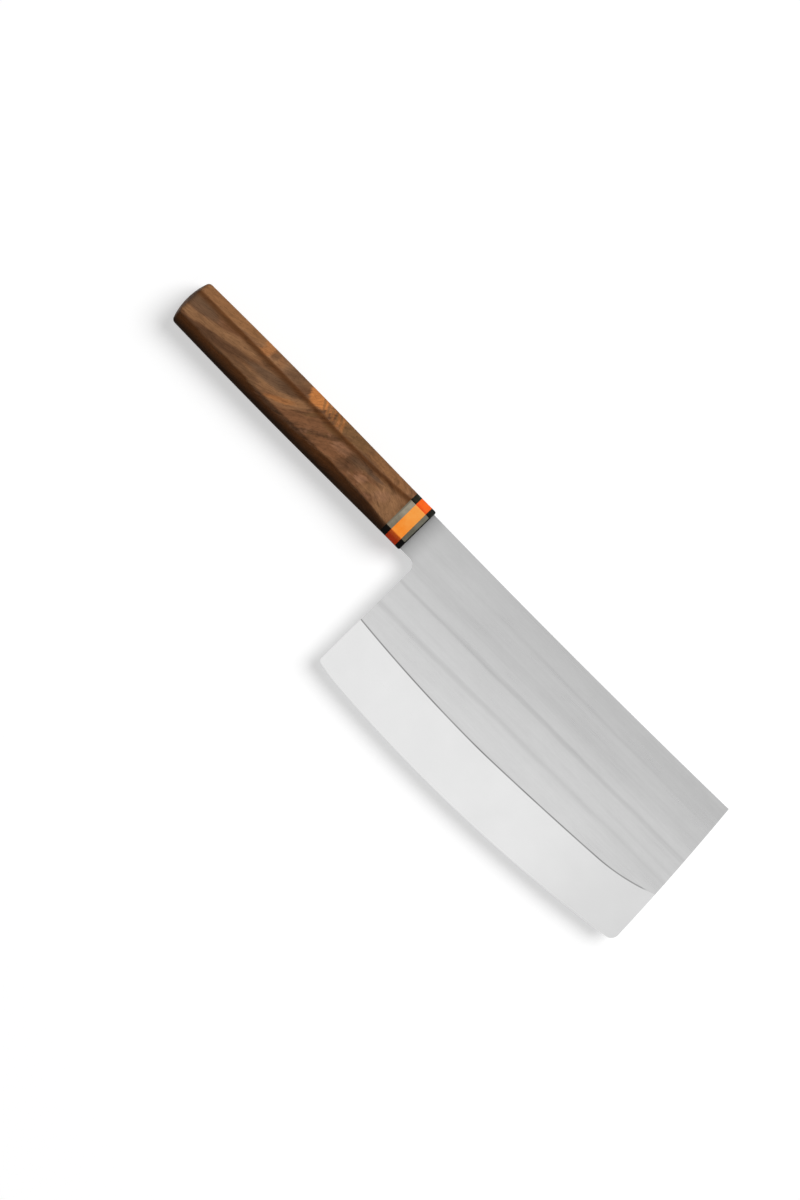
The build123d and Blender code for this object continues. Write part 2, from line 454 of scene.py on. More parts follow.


# finish of the handle: oiled walnut, with the patches of figure that the photograph shows, set one by one
woodPlan = {
    "colors": {
        "deep": (24, 13, 6),
        "umber": (98, 57, 26),
        "dark": (86, 60, 42),
        "slate": (92, 71, 56),
        "taupe": (108, 82, 62),
        "olive": (112, 82, 52),
        "ochre": (136, 95, 61),
        "red": (127, 86, 58),
        "tan": (146, 106, 73),
        "rose": (158, 114, 86),
        "bright": (182, 116, 64),
    },
    "grainClimb": (                   # distance from the butt, then how far the fibres have climbed across
        (0, 0), (22, 3.0), (44, 8.0), (62, 15.0), (76, 24.0), (92, 33.0), (108, 36.0), (132, 29.0),
    ),
    "pithAway": (0.0, 78.0, 6.0),     # the tree's middle lies this far past the cutting-edge side and below
    "curlyFrom": (56.0, 72.0),        # distance from the butt over which the figure turns curly
    "swirl": (2.0, 4.0),              # how far the fibres swirl, calm and curly
    "fleckShare": (0.2, 0.4),         # strength of the warm and olive flecks, calm and curly
    "curlDepth": (0.2, 0.45),
    "grains": {                       # length, width, detail, the noise at none and at all, depth in widths
        "broad": (60.0, 7.0, 2.0, 0.5, 0.68),
        "band": (46.0, 3.6, 3.0, 0.36, 0.64),
        "streak": (17.0, 0.95, 3.0),
        "fibre": (7.0, 0.4, 3.0),
        "fineFibre": (2.6, 0.14, 1.0),
        "pores": (3.0, 0.18, 0.0, 0.66, 0.72, 1.5),
    },
    "swirlSize": (13.0, 7.0, 7.0),
    "fleckSize": (3.2, 1.9, 1.9),
    "curlSize": (2.2, 1.3, 1.3),
    "shimmerSize": (2.6, 11.0, 11.0),
    "shades": {"streak": 0.13, "fibre": 0.14, "fineFibre": 0.06},
    "poreDark": 0.3,
    "roughness": 0.46,
    "specular": 0.03,
    "ridgeDark": 0.75,
    "ridgeFade": (-3.0, -0.3),        # past the ridge, over which its dark line comes up from the level facet
    "endDark": 0.3,
    "endReach": (2.4, 1.2),           # distance from the butt over which the end grain turns dark
    "waveSize": (9.0, 40.0, 40.0),
    "waveDepth": 0.5,                 # how far the painted shade below the lower ridge waves over it
    "underY": (-7.2, -11.2),          # painted shade from umber to nearly black
    "duskX": (20, 55),                # painted shade nearly black again towards the rings
    "duskShare": 0.45,
    "flankZ": (11.5, 14.5),           # the flank below these heights keeps its figure
    "flankShare": (0.3, 0.92),
    "faceZ": 20,
    "faceFigure": (                   # colour, centre x and y, reach along, across and down, turn, strength
        ("taupe", -57, 2.6, 9, 3.4, 2.5, 4, 0.8),
        ("tan", -59.2, -3.5, 4.8, 1.5, 2.5, 0, 1.0),
        ("tan", -41.5, 0.3, 18, 1.7, 2.5, 12, 0.8),
        ("dark", -38, -2.7, 20, 1.5, 2.5, 11, 0.7),
        ("dark", -33, -5.0, 18, 1.6, 2.5, 0, 0.6),
        ("taupe", -14, 1.2, 11, 2.1, 2.5, 10, 0.8),
        ("dark", -17, 4.8, 13, 1.5, 2.5, 0, 0.6),
        ("dark", -3.2, 4.2, 5.4, 1.9, 2.5, 20, 0.65),
        ("tan", -11, -5.2, 5, 0.7, 2.5, 6, 0.4),
        ("red", 0, -3.8, 12, 2.8, 2.5, 6, 0.8),
        ("tan", -2.4, -2.2, 8.6, 1.7, 2.0, 30, 0.55),
        ("bright", -4.0, -1.6, 8.4, 1.0, 2.0, 30, 0.42),
        ("tan", 3.6, 3.0, 4.4, 2.0, 2.0, 30, 0.6),
        ("red", 12, 1.6, 8, 3.6, 2.0, 20, 0.8),
        ("olive", 9.4, 3.0, 5.4, 0.9, 2.0, 40, 0.5),
        ("red", 24, -2.0, 10, 2.6, 2.0, 10, 0.85),
        ("olive", 20, 4.4, 6, 1.3, 2.0, 0, 0.6),
        ("rose", 28.4, 1.6, 4.4, 2.2, 2.0, 20, 0.45),
        ("dark", 35.6, -0.2, 5.0, 2.8, 2.0, 40, 0.6),
        ("slate", 46, 4.4, 11, 2.0, 2.0, -4, 0.75),
        ("taupe", 38, 3.0, 5.0, 2.0, 2.0, 10, 0.5),
        ("rose", 43.4, -1.4, 2.6, 1.5, 2.0, 20, 0.6),
        ("tan", 49.6, -2.2, 4.4, 1.9, 2.0, 20, 0.7),
        ("tan", 59, -0.8, 7.4, 5.4, 2.5, -28, 0.9),
        ("rose", 54.8, -0.9, 3.4, 1.9, 2.0, 38, 0.5),
    ),
    "bevelAt": (10.4, 15, 12),        # y and z of the upper bevel's patches, and their reach down
    "bevelFigure": (                  # colour, centre x, reach along and across, turn, strength
        ("ochre", -46, 20, 4.6, 0, 0.85),
        ("bright", -24, 2.6, 5.4, 0, 0.4),
        ("dark", -19.6, 1.7, 5.4, 0, 0.5),
        ("red", -16.2, 1.8, 5.4, 0, 0.5),
        ("taupe", -9, 6.0, 5.4, 0, 0.6),
        ("dark", -4.4, 7.0, 5.4, -14, 0.5),
        ("olive", 30, 10, 4.6, -4, 0.75),
        ("dark", 38.8, 2.2, 5.4, -10, 0.5),
        ("ochre", 50, 12, 4.6, 0, 0.7),
    ),
    "slants": (                       # across the bevel: colour, first x, apart, count, half width, strength
        ("bright", 3.7, 2.6, 3, 2.2, 1.0),
        ("bright", 11.9, 2.9, 4, 1.4, 0.5),
        ("olive", 9.5, 2.5, 6, 0.55, 0.6),
    ),
    "slantAt": (10.0, 15.0, 4.6, 12.0, -60),   # their middle's y and z, half length, reach down and turn
    "overRidge": ((-1.0, -7.0, 18.0), (16.0, 4.0, 8.0)),   # where the figure's red runs over the lower ridge
}


# place, colour, centre, reach, turn and strength of every patch, the later ones over the earlier
def listPatches(plan, level, steady):
    patches = []
    for name, x, y, *reach, turn, strength in plan["faceFigure"]:
        patches.append((level, name, (x, y, plan["faceZ"]), reach, turn, strength))
    y, z, down = plan["bevelAt"]
    for name, x, along, across, turn, strength in plan["bevelFigure"]:
        patches.append((level, name, (x, y, z), (along, across, down), turn, strength))
    y, z, halfLength, down, turn = plan["slantAt"]
    for name, firstX, apart, count, halfWidth, strength in plan["slants"]:
        for i in range(count):
            centre, reach = (firstX + i * apart, y, z), (halfLength, halfWidth, down)
            patches.append((steady, name, centre, reach, turn, strength))
    return patches


def makeWood(plan):
    material, shader, place = startMaterial("oiledWalnut")
    colors = toColors(plan["colors"])
    x, y, z = separate(place)
    fromButt = x - bodyLow.x / mm

    # fibres that climb across the handle, swirled gently at first and strongly where the figure turns curly
    curly = fade(fromButt, *plan["curlyFrom"])
    turning = noise(place / plan["swirlSize"], 1.0, 3.0, 0.55, "Color")
    swirl = (turning - (0.5, 0.5, 0.5)) * remap(curly, 0, 1, *plan["swirl"])
    swirled = place + swirl
    climb = followCurve(fromButt, plan["grainClimb"], plan["grainClimb"][-1][0], 40.0)
    pithX, pithY, pithZ = separate(swirled - combine(0, climb, 0) + plan["pithAway"])
    grain = combine(pithX, calcVector("LENGTH", combine(0, pithY, pithZ)), pithZ)

    def grainMask(length, width, detail, low=0.3, high=0.7, deep=5):
        return useGroup(
            grainGroup, vector=grain, length=length, width=width, depth=width * deep,
            detail=detail, low=low, high=high,
        ).mask

    masks = {name: grainMask(*sizes) for name, sizes in plan["grains"].items()}
    color = blendColor(masks["band"], colors["dark"], colors["red"])
    color = blendColor(masks["broad"], color, colors["tan"])
    # warm and olive flecks, strongest where the figure turns curly
    warm, green, _ = separate(noise(swirled / plan["fleckSize"], 1.0, output="Color"))
    amount = remap(curly, 0, 1, *plan["fleckShare"])
    for fleck, name in ((warm, "rose"), (green, "olive")):
        color = blendColor(fade(fleck, 0.5, 0.7) * amount, color, colors[name])

    # the figure's patches, then the short slanted bands of the upper bevel, which keep nearly still
    ragged = remap(masks["streak"] + masks["band"], 0, 2, 0.5, -0.5)
    patches = listPatches(plan, place + swirl * (1, 1, 0), place + swirl * 0.4)
    for vector, name, centre, reach, turn, strength in patches:
        mask = useGroup(
            patchGroup, vector=vector, centre=centre, reach=reach,
            turn=radians(turn), softness=0.4, strength=strength, ragged=ragged,
        ).mask
        color = blendColor(mask, color, colors[name])

    # distance from the ridge between level facet and bevel: the upper one fades from a dark line into the facet
    stations = handlePlan["stations"]
    flats = [(behind, halfFlat) for behind, _, halfFlat, _ in stations]
    flatEdge = followCurve(bodyHigh.x / mm - x, flats, stations[-1][0], 12.0)
    pastRidge = y - flatEdge
    ridgeLine = fade(pastRidge, *plan["ridgeFade"]) * fade(pastRidge, 1.0, 0.0)
    color = blendColor(ridgeLine * plan["ridgeDark"], color, colors["umber"])
    color = blendColor(ridgeLine * (plan["ridgeDark"] / 3), color, colors["deep"])

    # all below the lower ridge is darkened, partly its own darker tone and partly painted shade of the side
    # turned from the light, and redder where the figure's red runs over it
    depth = plan["waveDepth"]
    wave = remap(noise(place / plan["waveSize"], 1.0), 0.3, 0.7, -depth, depth)
    centre, reach = plan["overRidge"]
    over = useGroup(
        patchGroup, vector=place, centre=centre, reach=reach, softness=0.5, strength=1.6, ragged=ragged,
    ).mask
    shadeBelow = fade(y * -1 - (flatEdge + over) + wave, -0.5, 1.0)
    underShade = blendColor(fade(y, *plan["underY"]), colors["umber"], colors["deep"])
    dusk = fade(x, *plan["duskX"], 0.0, plan["duskShare"])
    underShade = blendColor(dusk, underShade, colors["deep"])
    flank = fade(z, *plan["flankZ"], *plan["flankShare"])
    color = blendColor(shadeBelow * flank, color, underShade)

    # lines, curl and shimmer, then open pores and the end grain of the butt
    lines, fibre, fineFibre = [sway(masks[name], depth) for name, depth in plan["shades"].items()]
    shade = lines + fibre + fineFibre + 1
    curlDepth = remap(curly, 0, 1, *plan["curlDepth"])
    curl = noise(swirled / plan["curlSize"], 1.0, 3.0, 0.65)
    shimmer = noise(swirled / plan["shimmerSize"], 1.0)
    for pattern in (curl, shimmer):
        shade = (pattern - 0.5) * curlDepth + shade
    color = shadeColor(color, shade)
    pores = masks["pores"]
    color = blendColor(pores * plan["poreDark"], color, colors["deep"])
    endGrain = fade(fromButt, *plan["endReach"])
    color = blendColor(endGrain * plan["endDark"], color, colors["deep"])
    ridge = fade(readAttribute(place.tree, "ridge"), 0.2, 0.9)
    rough = pores * 0.25 + plan["roughness"] + ridge * -0.1 + sway(masks["fibre"], 0.04)
    fillNamed(shader, {
        "Base Color": color,
        "Roughness": rough,
        "Specular IOR Level": plan["specular"],
        "Normal": bump(masks["fineFibre"] * 0.25 - pores, 0.00005, 0.6),
    })
    return material


# finish of the three slices: polished laminate, with a painted sheen on the level faces and painted shade on
# the lower sides
laminatePlan = {
    "tones": {
        "rearLiner": {
            "side": (44, 44, 33), "sideMottle": (32, 31, 24), "low": (20, 16, 10),
            "under": (10, 7, 4), "face": (168, 160, 142), "faceMottle": (122, 114, 98),
        },
        "orangeSpacer": {
            "side": (244, 104, 34), "sideMottle": (236, 88, 26), "low": (252, 112, 40),
            "under": (216, 66, 26), "face": (255, 172, 84), "faceMottle": (254, 142, 44),
        },
        "frontRing": {
            "side": (36, 37, 31), "sideMottle": (27, 27, 23), "low": (16, 14, 11),
            "under": (9, 8, 7), "face": (124, 120, 106), "faceMottle": (90, 89, 78),
        },
    },
    "roughness": 0.18,
    "smudge": 0.12,
    "scratch": 0.08,
    "specular": 0.03,
    "faceDepth": 0.1,                 # how far below the level faces the painted sheen ends
    "dimReach": 1.1,                  # the liner's stretch beside the wood, where its painted sheen is dimmer
}


def makeLaminate(plan, name):
    material, shader, place = startMaterial(name + "Laminate")
    tones = toColors(plan["tones"][name])
    x, y, z = separate(place)
    cloud = remap(noise(place, 0.35, 4.0, 0.6), 0.35, 0.65)
    side = blendColor(cloud, tones["side"], tones["sideMottle"])
    # the lower half takes its own tone, which on the two dark slices is painted shade
    side = blendColor(remap(y, 0, -0.01), side, tones["low"])
    flat = handlePlan["stations"][0][2]
    # painted shade deepening below the lower ridge, and a dark line beside the upper ridge
    shadeBeneath = fade(y, -flat, -flat - 2.4)
    nearRidge = fade(y, flat + 1.6, flat + 0.2, 0, 0.6) * remap(y, 0, 0.01)
    side = blendColor(calc("MAXIMUM", shadeBeneath, nearRidge), side, tones["under"])

    # painted sheen on the level faces: their pale tone stands in for the reflected light from above, and it
    # dims towards the cutting-edge side and beside the wood
    besideWood = fade(x - bodyHigh.x / mm, plan["dimReach"], 0.4)
    towardEdge = cloud * 0.4 + fade(y, 5, -5, 0, 0.6)
    face = blendColor(calc("MAXIMUM", towardEdge, besideWood), tones["face"], tones["faceMottle"])
    level = midZ / mm
    sheenOnFace = fade(calc("ABSOLUTE", z - level), level - plan["faceDepth"], level - 0.01)
    rough, smudge, scratch = plan["roughness"], plan["smudge"], plan["scratch"]
    marks = useGroup(handlingGroup, vector=place, baseRoughness=rough, smudge=smudge, scratch=scratch)
    fillNamed(shader, {
        "Base Color": blendColor(sheenOnFace, side, face),
        "Roughness": marks.roughness,
        "Specular IOR Level": plan["specular"],
        "Normal": bump(marks.scratches, -0.000003, 0.4),
    })
    return material


# finishes of the two inner pieces, seen only when the handle is taken apart
innerPlan = {
    "dowelWood": {
        "tones": {"base": (196, 160, 112), "lines": (168, 128, 82)},
        "roughness": 0.62, "length": 12.0, "width": 0.5,
    },
    "curedAdhesive": {
        "tones": {"base": (196, 178, 132), "lines": (176, 152, 104)},
        "roughness": 0.38, "length": 1.6, "width": 1.6,
    },
}


def makeInner(plan, name):
    material, shader, place = startMaterial(name)
    tones, length, width = toColors(plan["tones"]), plan["length"], plan["width"]
    mask = useGroup(grainGroup, vector=place, length=length, width=width, depth=width, detail=3.0).mask
    fillNamed(shader, {
        "Base Color": blendColor(mask, tones["base"], tones["lines"]),
        "Roughness": mask * 0.08 + plan["roughness"],
        "Normal": bump(mask, 0.00003, 0.4),
    })
    return material


steelMaterial = makeSteel(steelPlan)
woodMaterial = makeWood(woodPlan)
innerFinishes = {
    "tang_dowel": makeInner(innerPlan["dowelWood"], "dowelWood"),
    "tang_bedding": makeInner(innerPlan["curedAdhesive"], "curedAdhesive"),
}
print("finishes built")


# three slices at the handle's front, the last one eased and slotted for the tang
ringPlan = {
    "boreRadius": 5.0,
    "slotHalfHeight": 4.35,
    "slotHalfThickness": 0.95,
    "jointEasing": 0.06,              # the hair-fine step where two polished slices meet
    "frontEasing": 0.8,
    "ridgeSteps": 6,
    "easingRows": 5,
    "sideRows": 4,
}


# one point of the octagon: its ridges are arcs, and the facets are what lies between them
def makeSectionGroup():
    group, given, result = startGroup(
        "octagonSection", "GeometryNodeTree",
        socketKinds(Float="Column, Ridge Steps, Half Height, Half Flat, Half Thickness, Ridge Radius, Inset"),
        socketKinds(Vector="Point", Float="Angle, Ridge"),
    )
    eighth = pi / 4
    column, steps, radius = given.column, given.ridgeSteps, given.ridgeRadius
    halfHeight, halfThickness = given.halfHeight, given.halfThickness
    ridge = calc("FLOOR", (column + 0.01) / (steps + 1))
    share = (column - ridge * (steps + 1)) / steps
    diagonal = (given.halfFlat + halfThickness) * sqrt(0.5)

    def reachOf(facet):
        isLevel = calc("COMPARE", calc("MODULO", facet, 4), 2, 0.1)
        straight = isLevel * (halfThickness - halfHeight) + halfHeight
        isBevel = calc("COMPARE", calc("MODULO", facet, 2), 1, 0.1)
        return isBevel * (diagonal - straight) + straight - radius

    before, after = reachOf(ridge), reachOf(ridge + 1)
    startAngle = ridge * eighth
    angle = share * eighth + startAngle
    nearWeight = (after * -cos(eighth) + before) / sin(eighth) ** 2
    farWeight = (before * -cos(eighth) + after) / sin(eighth) ** 2
    centre = direction(startAngle) * nearWeight + direction(startAngle + eighth) * farWeight
    fillNamed(result, {
        "Point": centre + direction(angle) * (radius - given.inset),
        "Angle": angle,
        "Ridge": 1 - calc("ABSOLUTE", share * 2 - 1),   # one in a ridge's middle, none on the facets
    })
    return group


def direction(angle):
    return combine(0, calc("COSINE", angle), calc("SINE", angle))


# a grid whose rows run along the handle and whose columns run round it, the last column on the first
def startWrappedGrid(group, rows, ridgeSteps):
    columns = ridgeSteps * 8 + 9
    grid = addNode(group, "GeometryNodeMeshGrid")
    fillNamed(grid.inputs, {"Vertices X": rows + 1, "Vertices Y": columns})
    index = Wire(addNode(group, "GeometryNodeInputIndex").outputs[0]) + 0.01
    row = calc("FLOOR", index / columns)
    return Wire(grid.outputs["Mesh"]), row, calc("FLOOR", index - row * columns)


def finishWrappedGrid(group, mesh, place, ridge, material, result):
    for kind, values in (
        ("GeometryNodeSetPosition", {"Position": place}),
        ("GeometryNodeStoreNamedAttribute", {"Name": "ridge", "Value": ridge}),
        ("GeometryNodeMergeByDistance", {"Distance": 2e-6}),
        ("GeometryNodeFlipFaces", {}),
        ("GeometryNodeRealizeInstances", {}),
        ("GeometryNodeSetMaterial", {"Material": material}),
    ):
        node = addNode(group, kind, mesh)
        fillNamed(node.inputs, values)
        mesh = Wire(node.outputs[0])
    fill(result["Geometry"], mesh)


# rows past a start count from 0 to 1 over the next stretch and then stay at 1
def stretchShare(row, start, rows):
    return calc("DIVIDE", row - start, rows, clamp=True)


def makeBodyTree(plan, section):
    group, given, result = startGroup(
        "handleBody", "GeometryNodeTree",
        socketKinds(
            Int="Ridge Steps, Dome Rows, Rim Rows, Side Rows",
            Float="Half Thickness, Dome Radius, Rim Easing, Butt X, Front X, Bore Radius, Bore End X",
            Material="Material",
        ),
        socketKinds(Geometry="Geometry"),
    )
    buttX, frontX = given.buttX, given.frontX
    domeRadius, easing = given.domeRadius, given.rimEasing
    rimStart = given.domeRows
    sideStart = rimStart + given.rimRows
    faceStart = sideStart + given.sideRows
    mesh, row, column = startWrappedGrid(group, faceStart + 3, given.ridgeSteps)
    overDome = stretchShare(row, 0, rimStart)
    aroundRim = stretchShare(row, rimStart, given.rimRows)
    alongSide = stretchShare(row, sideStart, given.sideRows)
    ontoFace, downBore, toPole = [stretchShare(row, faceStart + i, 1) for i in range(3)]

    # the soft rim between the dome and the sides is an arc that touches both
    names = ("halfHeight", "halfFlat", "ridgeRadius")
    buttSizes = {name: size * mm for name, size in zip(names, plan["stations"][-1][1:])}
    # the section takes what the tree is given under the same name
    butt = useGroup(section, **vars(given), column=column, inset=easing, **buttSizes)
    outFromAxis = calcVector("LENGTH", butt.point)
    innerRadius = domeRadius - easing

    def onSphere(radius, away):
        return buttX + domeRadius - calc("SQRT", radius * radius - away * away)

    rimCentre = onSphere(innerRadius, outFromAxis)
    tilt = calc("ARCSINE", outFromAxis / innerRadius)
    turn = (pi / 2 - tilt) * (1 - aroundRim)
    inset = easing * (1 - calc("COSINE", turn))
    sideX = alongSide * (frontX - rimCentre) + rimCentre - easing * calc("SINE", turn)

    share = calc("DIVIDE", frontX - sideX, frontX - buttX, clamp=True)
    sizes = {}
    for which, name, ceiling in zip((1, 2, 3), names, (16, 12, 4)):   # no size is above its ceiling
        points = [(station[0] / plan["stations"][-1][0], station[which] * mm) for station in plan["stations"]]
        sizes[name] = followCurve(share, points, 1.0, ceiling * mm)
    side = useGroup(section, **vars(given), column=column, inset=inset, **sizes)
    scaled = side.point * overDome
    domeX = onSphere(domeRadius, calcVector("LENGTH", scaled))
    outerX = calc("LESS_THAN", row, rimStart) * (domeX - sideX) + sideX

    # the bore for the dowel, entered from the front face
    x = downBore * (given.boreEndX - frontX) + outerX
    bore = direction(side.angle) * given.boreRadius
    around = (scaled * (1 - ontoFace) + bore * ontoFace) * (1 - toPole)
    place = around + combine(x, 0, given.halfThickness)
    finishWrappedGrid(group, mesh, place, side.ridge, given.material, result)
    return group


def makeRingTree(section):
    group, given, result = startGroup(
        "handleRing", "GeometryNodeTree",
        socketKinds(
            Int="Ridge Steps, Easing Rows, Side Rows",
            Float="Rear X, Front X, Half Height, Half Flat, Half Thickness, Ridge Radius, Rear Easing, "
                  "Front Easing, Bore Radius, Bore Half Height, Bore Half Thickness",
            Material="Material",
        ),
        socketKinds(Geometry="Geometry"),
    )
    easingRows = given.easingRows
    sideStart = easingRows + 1
    frontStart = sideStart + given.sideRows
    boreStart = frontStart + easingRows
    mesh, row, column = startWrappedGrid(group, boreStart + 2, given.ridgeSteps)
    outside = stretchShare(row, 0, 1) * (1 - stretchShare(row, boreStart, 1))
    alongSide = stretchShare(row, sideStart, given.sideRows)
    backAlong = stretchShare(row, boreStart + 1, 1)

    def eased(easing, share):
        turn = share * (pi / 2)
        return easing * (1 - calc("COSINE", turn)), easing * (1 - calc("SINE", turn))

    rearInset, rearGap = eased(given.rearEasing, 1 - stretchShare(row, 1, easingRows))
    frontInset, frontGap = eased(given.frontEasing, stretchShare(row, frontStart, easingRows))
    side = useGroup(section, **vars(given), column=column, inset=rearInset + frontInset)
    rearX = given.rearX + rearGap
    frontX = given.frontX - frontGap
    x = alongSide * (frontX - rearX) + rearX + backAlong * (given.rearX - given.frontX)

    def bounded(value, limit):
        return calc("MAXIMUM", calc("MINIMUM", value, limit), limit * -1)

    _, wide, high = separate(direction(side.angle) * given.boreRadius)
    bore = combine(0, bounded(wide, given.boreHalfHeight), bounded(high, given.boreHalfThickness))
    around = side.point * outside + bore * (1 - outside)
    place = around + combine(x, 0, given.halfThickness)
    finishWrappedGrid(group, mesh, place, side.ridge, given.material, result)
    return group


# the tree's inputs come from the plan by name, its lengths in millimetres, and from what is given beside it
def runTree(name, tree, plan, **values):
    piece = linkPiece(name, bpy.data.meshes.new(name))
    modifier = piece.modifiers.new(tree.name, "NODES")
    modifier.node_group = tree
    lengths = {key: value * mm for key, value in plan.items() if isinstance(value, float)}
    inputs = {**plan, **lengths, **values}
    for item in tree.interface.items_tree:
        if item.in_out == "INPUT":
            modifier[item.identifier] = inputs[plainName(item)]
    return bakeModifiers(piece)


def makeHandleRings(plan, section):
    tree = makeRingTree(section)
    halfHeight, halfFlat, ridgeRadius = [value * mm for value in handlePlan["stations"][0][1:]]
    nodes = {"rearLiner": "rear_liner", "orangeSpacer": "orange_spacer", "frontRing": "front_ring"}
    rings = {}
    for name, node in nodes.items():
        low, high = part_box(node)
        last = node == "front_ring"
        rings[node] = runTree(
            name, tree, plan, rearX=low.x, frontX=high.x, halfHeight=halfHeight, halfFlat=halfFlat,
            halfThickness=midZ, ridgeRadius=ridgeRadius, rearEasing=plan["jointEasing"] * mm,
            frontEasing=plan["frontEasing" if last else "jointEasing"] * mm,
            boreHalfHeight=plan["slotHalfHeight" if last else "boreRadius"] * mm,
            boreHalfThickness=plan["slotHalfThickness" if last else "boreRadius"] * mm,
            material=makeLaminate(laminatePlan, name),
        )
    return rings


sectionGroup = makeSectionGroup()
handleBody = runTree(
    "handleBody", makeBodyTree(handlePlan, sectionGroup), handlePlan,
    halfThickness=midZ, buttX=bodyLow.x, frontX=bodyHigh.x, material=woodMaterial,
)
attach(handleBody, "root")
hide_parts("handle_body")
print("handle body made,", len(handleBody.data.polygons), "faces")
for node, ring in makeHandleRings(ringPlan, sectionGroup).items():
    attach(ring, "root")
    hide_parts(node)
    "orange_ring" if node == "orange_spacer" else "dark_ring"
print("three rings made")


# blade: one ground plate with its tang, laid out in millimetres from the ring face and the handle's middle
bladePlan = {
    "thickness": 2.0,
    "edgeThickness": 0.12,
    "neckTop": (0.0, 10.05),
    "spineMiddle": (90.0, 9.95),
    "spineTip": (179.1, 11.4),
    "frontMiddle": (182.3, -26.0),
    "frontFoot": (184.5, -64.1),
    "belly": (77.0, -72.8),
    "heelTurn": (25.5, -71.3),
    "heelFoot": (9.8, -69.2),
    "neckBottom": (0.0, -10.5),
    "frontCornerRadius": 4.0,
    "heelCornerRadius": 1.8,
    "neckFilletRadius": 4.0,
    "shoulderLowest": (78.8, -46.84),
    "shoulderSweeps": (               # how far along each sweep of the shoulder line ends, and its radius
        (80.0, 764.0), (92.0, 330.0), (154.0, 2000.0), (190.0, 95.0),
    ),
    "grindHeight": 25.9,
    "stepWidth": 0.9,
    "stepDepth": 0.12,
    "hollowDepth": 0.1,
    "spineEasing": 0.25,
    "tangLength": 80.0,
    "tangThickness": 1.8,
    "tangRootWidth": 8.6,
    "tangEndWidth": 6.0,
    "tangEndRadius": 2.0,
    "flatRows": 9,
    "stepRows": 5,
    "grindRows": 10,
    "edgeStep": 1.6,
    "cornerSteps": 8,
}


def circleThrough(first, second, third):
    (ax, ay), (bx, by), (cx, cy) = first, second, third
    twice = 2 * (ax * (by - cy) + bx * (cy - ay) + cx * (ay - by))
    a, b, c = [x * x + y * y for x, y in (first, second, third)]
    x = (a * (by - cy) + b * (cy - ay) + c * (ay - by)) / twice
    y = (a * (cx - bx) + b * (ax - cx) + c * (bx - ax)) / twice
    return (x, y), dist(first, (x, y))


def walkArc(centre, start, end, steps):
    radius = dist(start, centre)
    first, last = [atan2(point[1] - centre[1], point[0] - centre[0]) for point in (start, end)]
    sweep = (last - first + pi) % (2 * pi) - pi   # the short way round
    angles = [first + sweep * i / steps for i in range(steps + 1)]
    return [(centre[0] + radius * cos(angle), centre[1] + radius * sin(angle)) for angle in angles]


# the point of a run whose straight distance from the run's start is the one asked for
def pointAtDistance(run, distance):
    start = Vector(run[0])
    for near, far in zip(run, run[1:]):
        a, b = (Vector(near) - start).length, (Vector(far) - start).length
        if b >= distance:
            return Vector(near).lerp(Vector(far), (distance - a) / (b - a))
    return Vector(run[-1])


# the runs leave the corner on either side of it
def roundCorner(before, after, radius, steps):
    corner = Vector(before[0])
    setBack = radius
    for _ in range(6):
        backward = (pointAtDistance(before, setBack) - corner).normalized()
        forward = (pointAtDistance(after, setBack) - corner).normalized()
        half = acos(backward.dot(forward)) / 2
        setBack = radius / tan(half)
    centre = corner + (backward + forward).normalized() * radius / sin(half)
    return walkArc(centre, corner + backward * setBack, corner + forward * setBack, steps)


# centre, radius and last angle of each sweep of the shoulder line, every sweep touching the one before
def layShoulder(plan):
    joint, angle = Vector(plan["shoulderLowest"]), 0.0
    sweeps = []
    for endX, radius in plan["shoulderSweeps"]:
        centre = joint + Vector((-sin(angle), cos(angle))) * radius
        angle = asin((endX - centre.x) / radius)
        joint = centre + Vector((sin(angle), -cos(angle))) * radius
        sweeps.append((centre, radius, angle))
    return sweeps


shoulder = layShoulder(bladePlan)


# how far a point lies past the shoulder line, towards the cutting edge
def grindDistance(point):
    for centre, radius, lastAngle in shoulder:
        fromCentre = Vector(point[:2]) - centre
        if atan2(fromCentre.x, -fromCentre.y) <= lastAngle:
            break
    return fromCentre.length - radius


def halfThickness(plan, distance):
    half = plan["thickness"] / 2
    if distance <= 0:
        return half
    if distance < plan["stepWidth"]:
        share = distance / plan["stepWidth"]
        return half - plan["stepDepth"] * (1 - (1 - share) ** 2)
    share = (distance - plan["stepWidth"]) / (plan["grindHeight"] - plan["stepWidth"])
    foot = half - plan["stepDepth"]
    edge = plan["edgeThickness"] / 2
    straight = foot + (edge - foot) * share
    return max(straight - 4 * plan["hollowDepth"] * share * (1 - share), edge)


# the run from the heel line round the heel corner, along the cutting edge and up round the front corner
def walkCuttingEdge(plan):
    edgeCentre, _ = circleThrough(plan["heelTurn"], plan["belly"], plan["frontFoot"])
    turnX, turnY = plan["heelTurn"]
    footX, footY = plan["heelFoot"]
    inward = Vector((edgeCentre[0] - turnX, edgeCentre[1] - turnY)).normalized()
    chord = Vector((footX - turnX, footY - turnY))
    heelRadius = chord.length_squared / (2 * chord.dot(inward))
    heelCentre = (turnX + inward.x * heelRadius, turnY + inward.y * heelRadius)
    heelRun = walkArc(heelCentre, plan["heelFoot"], plan["heelTurn"], 12)
    edgeSteps = int((plan["frontFoot"][0] - turnX) / plan["edgeStep"])
    edgeRun = walkArc(edgeCentre, plan["heelTurn"], plan["frontFoot"], edgeSteps)
    frontCentre, _ = circleThrough(plan["spineTip"], plan["frontMiddle"], plan["frontFoot"])
    frontRun = walkArc(frontCentre, plan["frontFoot"], plan["spineTip"], 60)
    heelSide = [plan["heelFoot"], (footX, footY + 20)]
    heelCorner = roundCorner(heelSide, heelRun, plan["heelCornerRadius"], plan["cornerSteps"])
    frontCorner = roundCorner(edgeRun[::-1], frontRun, plan["frontCornerRadius"], plan["cornerSteps"])
    middle = [p for p in heelRun + edgeRun[1:] if heelCorner[-1][0] + 0.4 < p[0] < frontCorner[0][0] - 0.4]
    return heelCorner + middle + frontCorner


